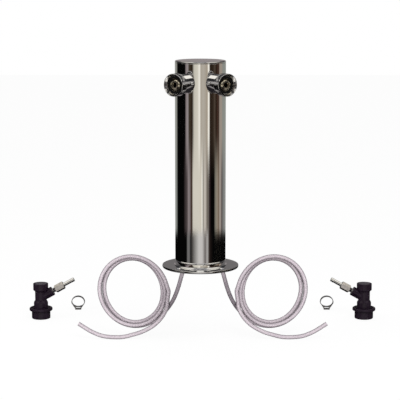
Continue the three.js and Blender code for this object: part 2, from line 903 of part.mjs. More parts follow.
function hoseBarb() {
  const head = stemEnd + fit + flareWasherThickness + fit;
  const radius = barbDiameter / 2;
  const bore = pipeBore / 2;
  const ridges = [];
  for (let i = barbRidges; i > 0; i -= 1) {
    const end = barbTip - (i - 1) * barbRidgeLength;
    ridges.push([radius, end - barbRidgeLength], [radius + barbRidge, end - barbRidgeLength]);
    ridges.push([radius, end]);
  }
  return turned([
    [bore, head],
    [barbHead / 2, head],
    [barbHead / 2, head + barbHeadThickness],
    [radius, head + barbHeadThickness],
    ...ridges,
    [bore, barbTip],
  ], 12);
}

function buildCoupler(name, side) {
  const group = new THREE.Group();
  group.position.set(kitAxis + side * couplerOut, couplerBack, standLevel);
  group.rotation.z = side < 0 ? 0 : Math.PI;
  tower.add(group);
  add(group, `coupler_body_${name}`, couplerBody(), black);
  add(group, `release_collar_${name}`, releaseCollar(), black);
  const wide = (collarBore - collarWire) / 2 - fit;
  const collarSpring = spring(wide, collarWire, ledgeHeight + fit, shoulderStart - fit);
  add(group, `collar_spring_${name}`, collarSpring, steel);
  for (let i = 0; i < balls; i += 1) {
    const ball = new THREE.SphereGeometry(ballDiameter / 2, 8, 4)
      .translate(cageDiameter / 2 + slip - fit - ballDiameter / 2, 0, ballHeight)
      .rotateZ((2 * Math.PI * i) / balls);
    add(group, `lock_ball_${name}_${i + 1}`, ball, steel);
  }
  add(group, `cap_plug_${name}`, capPlug(), black);
  add(group, `cap_seal_${name}`, capSeal(), rubber);
  add(group, `poppet_${name}`, poppet(), steel);
  const narrow = (pinGuide + pinWire) / 2 + fit;
  const springStart = webEnd + 2 * fit + pinHeadHeight;
  const pinSpring = spring(narrow, pinWire, springStart, plugEnd - fit);
  add(group, `poppet_spring_${name}`, pinSpring, steel);

  const arm = new THREE.Group();
  arm.position.z = armStart;
  arm.rotation.y = Math.PI / 2 - armAngle;
  group.add(arm);
  add(arm, `flare_stem_${name}`, flareStem(), steel);
  add(arm, `flare_washer_${name}`, flareWasher(), nylon);
  add(arm, `swivel_nut_${name}`, swivelNut(), steel);
  add(arm, `hose_barb_${name}`, hoseBarb(), steel);
}

// A loose ear clamp, standing on its ear: a slightly oval band, flatter inside at the bottom,
// and two straight legs down to the ear, with a slot above it
function looseClamp() {
  const outer = looseClampDiameter / 2;
  const inner = outer - looseClampBand;
  const bend = looseClampRise - looseClampBand;
  const shape = new THREE.Shape();
  shape.absellipse(0, 0, outer, looseClampRise, -legStart, Math.PI + legStart, false);
  shape.lineTo(-earWidth / 2, -earTop);
  shape.lineTo(-earBase / 2, -earBottom);
  shape.lineTo(earBase / 2, -earBottom);
  shape.lineTo(earWidth / 2, -earTop);
  shape.closePath();
  const bore = new THREE.Path().absellipse(0, 0, inner, bend, 0, Math.PI, false);
  bore.absellipse(0, 0, inner, lowerBore, Math.PI, 2 * Math.PI, false);
  shape.holes.push(bore);
  const slotHalf = earSlotWidth / 2;
  shape.holes.push(new THREE.Path([
    new THREE.Vector2(-slotHalf, -earSlotTop),
    new THREE.Vector2(slotHalf, -earSlotTop),
    new THREE.Vector2(slotHalf, -earSlotBottom),
    new THREE.Vector2(-slotHalf, -earSlotBottom),
  ]));
  const options = { depth: looseClampWidth, curveSegments: 12, bevelEnabled: false };
  return new THREE.ExtrudeGeometry(shape, options)
    .translate(0, earBottom, -looseClampWidth / 2)
    .rotateX(Math.PI / 2);
}

function buildLooseClamp(name, side) {
  const group = new THREE.Group();
  group.position.set(kitAxis + side * looseClampOut, looseClampBack, standLevel);
  tower.add(group);
  add(group, `line_clamp_${name}`, looseClamp(), steel);
}

buildBase();
const sides = [['left', -1], ['right', 1]];
const taps = sides.map(([, side]) => tapGroup(side));
buildColumn(taps);
sides.forEach(([name, side], i) => {
  buildTap(name, side, taps[i]);
  buildLine(name, side);
  buildCoupler(name, side);
  buildLooseClamp(name, side);
});

export default tower;
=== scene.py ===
import json
import math

import bmesh
import bpy
from mathutils import Matrix, Vector


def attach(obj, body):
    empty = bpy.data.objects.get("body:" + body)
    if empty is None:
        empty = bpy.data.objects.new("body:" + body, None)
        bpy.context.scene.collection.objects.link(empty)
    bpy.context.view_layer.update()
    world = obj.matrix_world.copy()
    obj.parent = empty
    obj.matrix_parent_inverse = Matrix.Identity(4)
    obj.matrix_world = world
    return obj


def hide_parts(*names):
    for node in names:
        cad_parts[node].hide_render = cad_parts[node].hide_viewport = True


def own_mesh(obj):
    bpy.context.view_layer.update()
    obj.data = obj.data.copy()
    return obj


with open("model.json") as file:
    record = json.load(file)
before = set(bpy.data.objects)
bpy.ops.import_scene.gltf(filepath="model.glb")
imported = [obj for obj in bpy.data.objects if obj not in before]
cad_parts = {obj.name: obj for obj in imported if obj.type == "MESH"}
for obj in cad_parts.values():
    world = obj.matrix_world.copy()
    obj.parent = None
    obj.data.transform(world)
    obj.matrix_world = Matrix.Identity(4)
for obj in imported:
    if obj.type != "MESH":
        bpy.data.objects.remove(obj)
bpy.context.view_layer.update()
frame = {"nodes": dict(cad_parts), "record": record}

# Where the photographer stood: 2.3 m in front of the column and 0.48 m up, looking down by
# 9.4 degrees through a long lens, so that the column hardly narrows towards its base.
lens = bpy.data.cameras.new("photographers_lens")
lens.sensor_width = 36.0
lens.lens = 138.96
lens.clip_end = 50.0


def placed(name, data):
    """Something of the scene, made from its lens, light, mesh or curve."""
    made = bpy.data.objects.new(name, data)
    bpy.context.scene.collection.objects.link(made)
    return made


camera = placed("photographers_lens", lens)
camera.location = (-0.0006, -2.3, 0.483)
camera.rotation_euler = (math.radians(80.6), 0.0, 0.0)
bpy.context.scene.camera = camera
bpy.context.scene.view_settings.view_transform = "Standard"

# The studio: an even white room. Polished metal mirrors more of it than the lens sees, so the
# room has dark flags and pale walls round the sides, light panels overhead and a dark table.
world = bpy.data.worlds.new("studio")
bpy.context.scene.world = world
world.use_nodes = True
room_tree = world.node_tree
room_tree.nodes.clear()


def feed(target, value):
    """Links an input to another node's output, or gives it a number or a colour."""
    if isinstance(value, bpy.types.NodeSocket):
        target.id_data.links.new(value, target)
    else:
        target.default_value = (*value, 1.0) if isinstance(value, tuple) else value


def add_node(tree, kind, inputs=(), **settings):
    """A node with its settings, and with its inputs fed by name or number."""
    node = tree.nodes.new(kind)
    for setting, value in settings.items():
        setattr(node, setting, value)
    for socket, value in dict(inputs).items():
        feed(node.inputs[socket], value)
    return node


room_way = add_node(room_tree, "ShaderNodeTexCoord").outputs["Generated"]
room_axes = add_node(room_tree, "ShaderNodeSeparateXYZ", {0: room_way}).outputs
to_front = add_node(
    room_tree, "ShaderNodeMath", {0: room_axes["Y"], 1: -1.0}, operation="MULTIPLY")
bearing = add_node(room_tree, "ShaderNodeMath", {0: room_axes["X"], 1: to_front.outputs[0]},
                   operation="ARCTAN2")
bearing_share = add_node(room_tree, "ShaderNodeMapRange", {
    "Value": bearing.outputs[0], "From Min": -math.pi, "From Max": math.pi})


def wall_of_room(stops):
    """The room's colours by bearing in degrees from the lens, anticlockwise seen from above."""
    ramp = add_node(room_tree, "ShaderNodeValToRGB", {"Fac": bearing_share.outputs["Result"]})
    elements = ramp.color_ramp.elements
    while len(elements) < len(stops):
        elements.new(1.0)
    for element, (degrees, colour) in zip(elements, stops):
        element.position = 0.5 + degrees / 360.0
        element.color = (*colour, 1.0)
    return ramp.outputs["Color"]


def both_ways(stops):
    """Colours that are the same to the left and to the right of the lens."""
    return wall_of_room([(-degrees, colour) for degrees, colour in reversed(stops)] + stops)


def share_between(low, high):
    """0 below one slope of sight and 1 above the other, in degrees."""
    return add_node(room_tree, "ShaderNodeMapRange", {
        "Value": room_axes["Z"], "From Min": math.sin(math.radians(low)),
        "From Max": math.sin(math.radians(high))},
        interpolation_type="SMOOTHSTEP").outputs["Result"]


def colour_mix(share, lower, upper):
    """The first colour where the share is 0, blending to the second where it is 1."""
    mix = add_node(share.id_data, "ShaderNodeMix", {"Factor": share}, data_type="RGBA")
    for name, colour in (("A", lower), ("B", upper)):
        feed([s for s in mix.inputs if s.name == name and s.type == "RGBA"][0], colour)
    return [s for s in mix.outputs if s.type == "RGBA"][0]


def shader_mix(share, lower, upper):
    """The first shader where the share is 0, blending to the second where it is 1."""
    return add_node(share.id_data, "ShaderNodeMixShader", {
        0: share, 1: lower.outputs[0], 2: upper.outputs[0]})


def seen_by_lens(tree):
    """1 for what the lens sees straight or through the clear lines, and 0 for all else."""
    sight = add_node(tree, "ShaderNodeLightPath").outputs
    return add_node(tree, "ShaderNodeMath", {
        0: sight["Is Camera Ray"], 1: sight["Is Transmission Ray"]},
        operation="MAXIMUM").outputs[0]


def backdrop(strength, colour):
    """Light that comes from all round, in one colour or in the colours of the room."""
    return add_node(
        room_tree, "ShaderNodeBackground", {"Strength": strength, "Color": colour})


black_flag = (0.002, 0.002, 0.002)
dark_wood = (0.022, 0.012, 0.007)
lilac_wall = (0.34, 0.30, 0.30)
beige_wall = (0.72, 0.68, 0.58)
bright_wall = (1.0, 0.96, 0.86)
shade_wall = (0.45, 0.40, 0.33)
green_wall = (0.28, 0.29, 0.26)
pale_edge = (0.38, 0.39, 0.37)
upper_room = wall_of_room([
    (-176, pale_edge), (-136, (0.3, 0.3, 0.27)), (-126, black_flag), (-73, black_flag),
    (-69, (0.24, 0.2, 0.2)), (-58, lilac_wall), (-53, (0.06, 0.045, 0.03)), (-36, dark_wood),
    (-28, (0.62, 0.59, 0.5)), (-12, beige_wall), (-4, bright_wall), (2, shade_wall),
    (12, (0.5, 0.46, 0.39)), (24, shade_wall), (31, (0.4, 0.34, 0.26)), (35, bright_wall),
    (39, bright_wall), (43, dark_wood), (60, (0.035, 0.024, 0.016)),
    (68, (0.085, 0.062, 0.045)), (76, dark_wood), (88, (0.07, 0.035, 0.025)),
    (92, dark_wood), (97, (0.36, 0.30, 0.25)), (114, (0.36, 0.31, 0.26)),
    (120, green_wall), (150, (0.3, 0.31, 0.28)), (176, pale_edge)])
lower_room = wall_of_room([
    (-176, pale_edge), (-136, (0.25, 0.26, 0.24)), (-126, black_flag), (-82, black_flag),
    (-74, (0.04, 0.03, 0.03)), (-62, (0.09, 0.07, 0.07)), (-56, (0.3, 0.25, 0.25)),
    (-48, (0.22, 0.19, 0.19)), (-43, (0.06, 0.03, 0.022)), (-38, (0.06, 0.04, 0.03)),
    (-33, beige_wall), (-8, beige_wall), (3, (0.72, 0.66, 0.55)), (8, bright_wall),
    (12, (0.22, 0.2, 0.17)), (17, (0.6, 0.55, 0.48)), (25, (0.55, 0.5, 0.44)),
    (29, (0.2, 0.17, 0.14)), (37, (0.17, 0.15, 0.13)), (41, (0.03, 0.018, 0.02)),
    (50, black_flag), (66, black_flag), (71, (0.2, 0.19, 0.15)), (84, (0.33, 0.28, 0.22)),
    (91, (0.16, 0.11, 0.07)), (97, (0.36, 0.31, 0.26)), (109, (0.36, 0.31, 0.28)),
    (114, (0.05, 0.035, 0.035)), (123, (0.2, 0.2, 0.19)), (176, pale_edge)])
table_top = wall_of_room([
    (-66, black_flag), (-61, (0.17, 0.165, 0.16)), (-52, (0.17, 0.165, 0.16)),
    (-46, (0.01, 0.01, 0.01)), (-38, (0.06, 0.055, 0.05)), (-22, (0.32, 0.31, 0.29)),
    (-6, (0.63, 0.61, 0.58)), (8, (0.6, 0.57, 0.55)), (14, (0.42, 0.4, 0.38)),
    (19, (0.22, 0.2, 0.19)), (25, (0.2, 0.18, 0.17)), (29, (0.45, 0.43, 0.41)),
    (34, (0.42, 0.4, 0.38)), (39, (0.05, 0.035, 0.03)), (46, (0.012, 0.008, 0.007)),
    (60, black_flag)])
floor_boards = wall_of_room([
    (-104, black_flag), (-92, (0.16, 0.15, 0.15)), (-62, (0.3, 0.28, 0.28)),
    (-46, (0.04, 0.035, 0.03)), (-32, (0.1, 0.095, 0.09)), (-22, (0.92, 0.9, 0.86)),
    (22, (0.92, 0.9, 0.86)), (32, (0.1, 0.095, 0.09)), (48, (0.03, 0.025, 0.02)),
    (62, (0.26, 0.24, 0.22)), (92, (0.16, 0.15, 0.14)), (104, black_flag)])
under_lens = wall_of_room([
    (-104, black_flag), (-94, (0.3, 0.28, 0.28)), (-66, (0.36, 0.34, 0.34)),
    (-54, (0.08, 0.07, 0.07)), (-44, (0.02, 0.018, 0.02)), (44, (0.02, 0.018, 0.02)),
    (54, (0.08, 0.07, 0.07)), (66, (0.36, 0.34, 0.33)), (94, (0.3, 0.28, 0.27)),
    (104, black_flag)])
over_wall = both_ways([
    (138, (0.02, 0.02, 0.022)), (150, (0.28, 0.25, 0.25)), (176, (0.3, 0.27, 0.27))])
cornice = both_ways([(13, (0.95, 0.92, 0.86)), (19, (0.03, 0.03, 0.032))])
wide_panel = (1.2, 1.15, 1.05)
side_panel = (0.7, 0.66, 0.58)
dark_bay = (0.04, 0.04, 0.045)
ceiling = both_ways([
    (50, wide_panel), (56, dark_bay), (64, dark_bay), (72, side_panel), (88, side_panel),
    (96, dark_bay)])
roof = both_ways([
    (36, (0.12, 0.12, 0.12)), (44, wide_panel), (128, (0.9, 0.86, 0.76)),
    (150, (0.05, 0.05, 0.05))])
grey_wall = (0.17, 0.16, 0.16)
grey_zenith = (0.42, 0.41, 0.42)
room = black_flag
for low, high, band in (
    (-60.0, -44.0, under_lens), (-23.0, -19.0, floor_boards), (-14.5, -12.8, table_top),
    (-10.8, -10.4, lower_room), (-8.8, -6.8, upper_room), (-2.0, 1.5, over_wall),
    (6.0, 9.0, grey_wall), (15.0, 19.0, cornice), (30.0, 32.0, ceiling), (36.0, 40.0, roof),
    (60.0, 72.0, grey_zenith),
):
    room = colour_mix(share_between(low, high), room, band)
white = (1.0, 1.0, 1.0)
mirror_sight = add_node(room_tree, "ShaderNodeLightPath").outputs["Is Glossy Ray"]
behind_paper = shader_mix(mirror_sight, backdrop(0.75, white), backdrop(1.0, room))
whole_room = shader_mix(seen_by_lens(room_tree), behind_paper, backdrop(1.0, white))
add_node(room_tree, "ShaderNodeOutputWorld", {"Surface": whole_room.outputs[0]})

# Two soft boxes, one over the lens and one to the left, that shade the moulded pieces and
# give them their highlights.
softbox_aim = Vector((0.0, 0.1, 0.0))
for name, power, size, place in (
    ("front_softbox", 26.0, 1.1, (0.5, -1.5, 1.6)),
    ("side_softbox", 9.0, 0.8, (-1.6, -0.5, 0.9)),
):
    softbox = bpy.data.lights.new(name, "AREA")
    softbox.energy = power
    softbox.size = size
    lamp = placed(name, softbox)
    lamp.location = place
    lamp.rotation_euler = (softbox_aim - Vector(place)).to_track_quat("-Z", "Y").to_euler()
    lamp.visible_camera = False
    lamp.visible_glossy = False

# The floor: matt white paper under the loose pieces and the lines. It fades to pure white in
# the lens and keeps a light shadow.
mm = 0.001
stand_level = -126 * mm
paper_mesh = bpy.data.meshes.new("white_paper_floor")
paper_mesh.from_pydata(
    [(-4, -3, stand_level), (4, -3, stand_level), (4, 5, stand_level), (-4, 5, stand_level)],
    [], [(0, 1, 2, 3)])
paper = placed("white_paper_floor", paper_mesh)
paper.visible_glossy = False
paper_finish = bpy.data.materials.new("white_paper")
paper_finish.use_nodes = True
paper_tree = paper_finish.node_tree
paper_shader = paper_tree.nodes["Principled BSDF"]
paper_shader.inputs["Base Color"].default_value = (0.9, 0.9, 0.9, 1.0)
paper_shader.inputs["Roughness"].default_value = 1.0
paper_shader.inputs["Specular IOR Level"].default_value = 0.0
paper_glow = add_node(paper_tree, "ShaderNodeEmission", {"Strength": 1.0})
paper_share = add_node(
    paper_tree, "ShaderNodeMath", {0: seen_by_lens(paper_tree), 1: 0.92}, operation="MULTIPLY")
paper_mix = shader_mix(paper_share.outputs[0], paper_shader, paper_glow)
feed(paper_tree.nodes["Material Output"].inputs["Surface"], paper_mix.outputs[0])
paper_mesh.materials.append(paper_finish)

# Base gasket: a 1 mm ring of soft black rubber, punched with the four screw holes, that keeps
# beer and water from running under the base. It is only just smaller than the base.
gasket_thickness = 1.0
flange_radius = 57.7
flange_edge = 0.4
gasket_radius = flange_radius - flange_edge
column_radius = 38.1
column_bore = column_radius - 1.5
screw_circle = 47.0
screw_hole = 2.75
overshoot = 2.0


def rounded(rows, steps=4):
    """An outline of radius and height in millimetres, with the fillets that its rows name."""
    points = []
    count = len(rows)
    support = 0.3
    edge_share = 0.48
    for i, row in enumerate(rows):
        corner = Vector(row[:2])
        fillet = row[2] if len(row) > 2 else 0.0
        if fillet <= 0:
            points.append(corner)
            continue
        back = Vector(rows[i - 1][:2]) - corner
        ahead = Vector(rows[(i + 1) % count][:2]) - corner
        half = back.angle(ahead) / 2
        reach = min(fillet / math.tan(half), edge_share * min(back.length, ahead.length))
        radius = reach * math.tan(half)
        start = corner + back.normalized() * reach
        end = corner + ahead.normalized() * reach
        if back.length > 4 * reach and i > 0:
            points.append(start + back.normalized() * min(support, reach))
        middle = corner + (back.normalized() + ahead.normalized()).normalized() * (
            radius / math.sin(half))
        for j in range(steps + 1):
            share = j / steps
            on = start.lerp(end, share) - middle
            points.append(middle + on.normalized() * radius)
        if ahead.length > 4 * reach and i < count - 1:
            points.append(end + ahead.normalized() * min(support, reach))
    return points


def piece_from(name, points, faces, place=None):
    """A mesh piece given in millimetres, put in its place in metres."""
    mesh = bpy.data.meshes.new(name)
    mesh.from_pydata([Vector(p) * mm for p in points], [], faces)
    mesh.validate()
    piece = placed(name, mesh)
    if place is not None:
        piece.matrix_world = place
    return piece


def turned(name, rows, sides=96, place=None):
    """A piece turned about its own upright axis: open outlines start and end on the axis."""
    outline = rounded(rows)
    on_axis = 1e-6
    points, rings = [], []
    for radius, height in outline:
        if radius < on_axis:
            rings.append([len(points)])
            points.append((0.0, 0.0, height))
            continue
        rings.append(list(range(len(points), len(points) + sides)))
        for i in range(sides):
            angle = 2 * math.pi * i / sides
            points.append((radius * math.cos(angle), radius * math.sin(angle), height))
    faces = []
    pairs = list(zip(rings, rings[1:]))
    if outline[0][0] > on_axis:
        pairs.append((rings[-1], rings[0]))
    for low, high in pairs:
        for i in range(sides):
            j = (i + 1) % sides
            if len(low) == 1:
                faces.append((low[0], high[j], high[i]))
            elif len(high) == 1:
                faces.append((low[i], low[j], high[0]))
            else:
                faces.append((low[i], low[j], high[j], high[i]))
    piece = piece_from(name, points, faces, place)
    outward(piece)
    return piece


def round_bar(name, radius, start, end, sides, place=None):
    """A plain round bar about its own axis, to cut with or to join."""
    return turned(name, [(0, start), (radius, start), (radius, end), (0, end)], sides, place)


def outward(piece):
    """Turns all faces of a closed piece outwards."""
    shell = bmesh.new()
    shell.from_mesh(piece.data)
    bmesh.ops.remove_doubles(shell, verts=shell.verts, dist=1e-7)
    bmesh.ops.recalc_face_normals(shell, faces=shell.faces)
    if shell.calc_volume(signed=True) < 0:
        bmesh.ops.reverse_faces(shell, faces=shell.faces)
    shell.to_mesh(piece.data)
    shell.free()


def final_mesh(thing):
    """The mesh that an object's modifiers or its curve make."""
    bpy.context.view_layer.update()
    shaped = thing.evaluated_get(bpy.context.evaluated_depsgraph_get())
    return bpy.data.meshes.new_from_object(shaped)


def drilled(piece, tools, way="DIFFERENCE"):
    """Cuts other solids from a piece, joins them to it, or keeps what they have in common."""
    for tool in tools:
        cut = piece.modifiers.new("cut", "BOOLEAN")
        cut.operation = way
        cut.solver = "EXACT"
        cut.object = tool
        mesh = final_mesh(piece)
        piece.modifiers.clear()
        piece.data = mesh
    for tool in tools:
        bpy.data.objects.remove(tool)


def smooth_between_edges(piece, angle=32.0):
    """Smooth shading, with an edge kept wherever two faces meet at more than the angle."""
    piece.data.polygons.foreach_set("use_smooth", [True] * len(piece.data.polygons))
    piece.data.set_sharp_from_angle(angle=math.radians(angle))


def fitted(piece, finish, body, slot, *nodes):
    """Finishes a piece: its material, the body that it rides on, and what it stands for."""
    piece.data.materials.clear()
    piece.data.materials.append(finish)
    smooth_between_edges(piece)
    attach(piece, body)
    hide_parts(*nodes)


def screw_holes(top, sink):
    """Cutters for the four countersunk screw holes."""
    holes = []
    for i in (1, 3, 5, 7):
        spot = Matrix.Rotation(i * math.pi / 4, 4, "Z") @ Matrix.Translation(
            (screw_circle * mm, 0, 0))
        holes.append(turned("screw_hole", [
            (0, -overshoot), (screw_hole, -overshoot), (screw_hole, top - sink),
            (screw_hole + sink, top), (screw_hole + sink, top + overshoot),
            (0, top + overshoot)], 32, spot))
    return holes


mark_names = ("Smudge Scale", "Grain Scale", "Least", "Most")


def surface_marks():
    """Handling marks: broad smudges that dull the surface a little, over a fine texture."""
    group = bpy.data.node_groups.new("handling_marks", "ShaderNodeTree")
    for name, value in zip(mark_names, (30.0, 900.0, 0.05, 0.12)):
        socket = group.interface.new_socket(
            name=name, in_out="INPUT", socket_type="NodeSocketFloat")
        socket.default_value = value
    for name in ("Roughness", "Height", "Mask"):
        group.interface.new_socket(name=name, in_out="OUTPUT", socket_type="NodeSocketFloat")
    given = add_node(group, "NodeGroupInput").outputs
    spot = add_node(group, "ShaderNodeTexCoord").outputs["Object"]
    smudge = add_node(group, "ShaderNodeTexNoise", {
        "Vector": spot, "Scale": given["Smudge Scale"], "Detail": 3.0}).outputs["Fac"]
    span = add_node(group, "ShaderNodeMapRange", {
        "Value": smudge, "From Min": 0.35, "From Max": 0.7, "To Min": given["Least"],
        "To Max": given["Most"]})
    grain = add_node(group, "ShaderNodeTexNoise", {
        "Vector": spot, "Scale": given["Grain Scale"], "Detail": 2.0})
    add_node(group, "NodeGroupOutput", {
        "Roughness": span.outputs["Result"], "Height": grain.outputs["Fac"], "Mask": smudge})
    return group


handling_marks = surface_marks()


def shader_of(finish):
    """The inputs of a finish's shader."""
    return finish.node_tree.nodes["Principled BSDF"].inputs


def finish_with_marks(name, colour, second, metallic, marks, bump=0.0, bump_distance=0.0):
    """A finish whose colour, gloss and fine relief, if any, come from the handling marks."""
    finish = bpy.data.materials.new(name)
    finish.use_nodes = True
    tree, shader = finish.node_tree, shader_of(finish)
    shader["Metallic"].default_value = metallic
    worn = add_node(tree, "ShaderNodeGroup", zip(mark_names, marks),
                    node_tree=handling_marks).outputs
    tint = add_node(tree, "ShaderNodeValToRGB", {"Fac": worn["Mask"]})
    for element, place, shade in zip(tint.color_ramp.elements, (0.35, 0.7), (colour, second)):
        element.position = place
        element.color = (*shade, 1.0)
    feed(shader["Base Color"], tint.outputs["Color"])
    feed(shader["Roughness"], worn["Roughness"])
    if bump:
        relief = add_node(tree, "ShaderNodeBump", {
            "Strength": bump, "Distance": bump_distance, "Height": worn["Height"]})
        feed(shader["Normal"], relief.outputs["Normal"])
    return finish


gasket_rubber = finish_with_marks(
    "gasket_rubber", (0.012, 0.012, 0.013), (0.022, 0.021, 0.022), 0.0,
    (60.0, 1500.0, 0.7, 0.9), 0.4, 0.0002)
gasket = turned("gasket_ring", [
    (column_bore, 0, 0.2), (gasket_radius, 0, 0.3), (gasket_radius, gasket_thickness, 0.3),
    (column_bore, gasket_thickness, 0.2)], 128)
drilled(gasket, screw_holes(gasket_thickness, 0.0))
fitted(gasket, gasket_rubber, "tower", "rubber", "base_gasket")

# Base: a 2.5 mm stainless plate with a drawn-up neck, turned, welded to the column and then
# polished together with it. Four countersunk screws hold it down.
flange_top = 3.5
neck_top = 12.0
weld_bead = 0.9
foot_fillet = 2.5
screw_sink = 2.0
polished_steel = finish_with_marks(
    "polished_steel", (0.86, 0.86, 0.865), (0.84, 0.84, 0.845), 1.0,
    (22.0, 700.0, 0.02, 0.055), 0.03, 0.0001)
base = turned("screw_down_base", [
    (column_bore, gasket_thickness), (flange_radius, gasket_thickness, 0.3),
    (flange_radius, flange_top, flange_edge),
    (column_radius, flange_top, foot_fillet),
    (column_radius, neck_top - 2 * weld_bead, 0.3),
    (column_radius + weld_bead, neck_top - weld_bead, 0.7), (column_radius, neck_top),
    (column_bore, neck_top)], 160)
drilled(base, screw_holes(flange_top, screw_sink))
fitted(base, polished_steel, "tower", "polished", "base_flange")

# Column: 76.2 mm stainless tube with a 1.5 mm wall, drilled for the two shanks and polished
# like a mirror from end to end.
column_top = 309.8
tap_height = 281.0
tap_angle = math.radians(34)
shank_hole = 11.6
drill_start, drill_end = 30.0, 41.0


def along_tap(side):
    """The frame of a tap: its own Z axis points out along the shank, its Y axis up."""
    return (Matrix.Translation((0, 0, tap_height * mm))
            @ Matrix.Rotation(side * tap_angle, 4, "Z")
            @ Matrix.Rotation(math.pi / 2, 4, "X"))


column = turned("polished_column", [
    (column_bore, neck_top), (column_radius, neck_top, 0.15),
    (column_radius, column_top, 0.15), (column_bore, column_top)], 192)
drilled(column, [
    round_bar("shank_hole", shank_hole, drill_start, drill_end, 64, along_tap(side))
    for side in (-1, 1)])
fitted(column, polished_steel, "tower", "polished", "tower_column")

# Cap: a pressed stainless disc with a rounded edge and a skirt that is pushed down inside the
# column. It can be lifted off to reach the nuts on the shanks.
cap_top = 312.8
cap_edge = 1.5
cap_seat = column_top + 0.05
skirt_radius = 36.3
skirt_bore = skirt_radius - 1.5
skirt_end = column_top - 10.0
cap = turned("column_cap", [
    (0, cap_top), (column_radius, cap_top, cap_edge), (column_radius, cap_seat, 0.3),
    (skirt_radius, cap_seat), (skirt_radius, skirt_end, 0.4),
    (skirt_bore, skirt_end, 0.3), (skirt_bore, column_top), (0, column_top)], 160)
fitted(cap, polished_steel, "tower", "polished", "top_cap")

# Insulation: a sleeve of dark closed-cell foam, rolled and pushed up into the column, so that
# the beer in the lines stays cold.
foam_start = 40.0
foam_length = 185.0
foam_radius = 36.3
foam_bore = foam_radius - 6.0
foam_cells = finish_with_marks(
    "foam_cells", (0.035, 0.035, 0.037), (0.06, 0.06, 0.062), 0.0,
    (400.0, 1400.0, 0.85, 1.0), 0.9, 0.0006)
ribs = 18
rib_depth = 0.25
inner_rib_depth = 0.3
rib_round = 1.0
top_round = 1.2
levels = [(i % 2, foam_start + foam_length * i / ribs) for i in range(ribs + 1)]
sleeve_rows = [(foam_radius - rib_depth * odd, height, rib_round) for odd, height in levels]
sleeve_rows.append((foam_bore, levels[-1][1], top_round))
sleeve_rows += [(foam_bore - inner_rib_depth * odd, height, rib_round)
                for odd, height in reversed(levels[:-1])]
sleeve = turned("insulation_sleeve", sleeve_rows, 64)
fitted(sleeve, foam_cells, "tower", "foam", "foam_sleeve")

# Shanks: nickel-plated brass, threaded on the outside, with a flange that the coupling nut
# pulls on and a rounded nose that the tap seals against. The bore runs right through.
tap_reach = 71.4
nut_length = 12.5
nut_lip = 1.6
fit = 0.3
shank_radius = 11.1
shank_bore = 3.1
shank_rear = 21.5
shank_chamfer = 0.8
socket_depth = 6.0
socket_radius = 2.15
shank_flange_radius = 13.1
shank_flange_thickness = 3.2
nose_radius = 9.2
nose_setback = 4.2
nose_front = tap_reach - nose_setback
hands = (("left", -1), ("right", 1))
warm_nickel = finish_with_marks(
    "warm_nickel", (0.62, 0.57, 0.45), (0.55, 0.5, 0.39), 1.0,
    (60.0, 1600.0, 0.13, 0.2), 0.02, 0.0001)
flange_rear = tap_reach - nut_length + nut_lip + fit
flange_front = flange_rear + shank_flange_thickness
nose_depth = 4.4
nose_face = shank_bore + 0.7
nose_lead_in = 1.2
nose_steps = 10
nose_rows = []
for i in range(nose_steps + 1):
    turn = math.pi / 2 * i / nose_steps
    nose_rows.append((nose_face + (nose_radius - nose_face) * math.cos(turn),
                      nose_front - nose_depth * (1 - math.sin(turn))))
pitch = 1.4
thread_depth = 0.55
thread_end = 40.0
thread_lead_in = 1.5
thread_rows = []
crest = shank_rear + thread_lead_in
while crest < thread_end:
    thread_rows += [(shank_radius - thread_depth, crest), (shank_radius, crest + pitch / 2)]
    crest += pitch
for name, side in hands:
    shank = turned(f"threaded_shank_{name}", [
        (socket_radius, shank_rear), (shank_radius - shank_chamfer, shank_rear), *thread_rows,
        (shank_radius, crest), (shank_radius, flange_rear),
        (shank_flange_radius, flange_rear, 0.3), (shank_flange_radius, flange_front, 0.4),
        (nose_radius, flange_front, 0.5), *nose_rows,
        (shank_bore, nose_front - nose_lead_in, 0.6),
        (shank_bore, shank_rear + socket_depth), (socket_radius, shank_rear + socket_depth),
    ], 80, along_tap(side))
    fitted(shank, warm_nickel, "tower", "nickel", f"shank_{name}")

# Collars: short polished stainless sleeves round the shanks, cut to the column's curve at the
# back, which hide the thread between the column and the nut.
collar_radius = 14.25
collar_bore = 11.6
collar_start = 31.9
collar_front = tap_reach - nut_length - fit
cut_reach = 30.0
for name, side in hands:
    collar = turned(f"shank_sleeve_{name}", [
        (collar_bore, collar_start), (collar_radius, collar_start),
        (collar_radius, collar_front, 0.7), (collar_bore, collar_front, 0.3)],
        96, along_tap(side))
    drilled(collar, [round_bar("column_round", column_radius + fit, tap_height - cut_reach,
                               tap_height + cut_reach, 192)])
    fitted(collar, polished_steel, "tower", "polished", f"shank_collar_{name}")

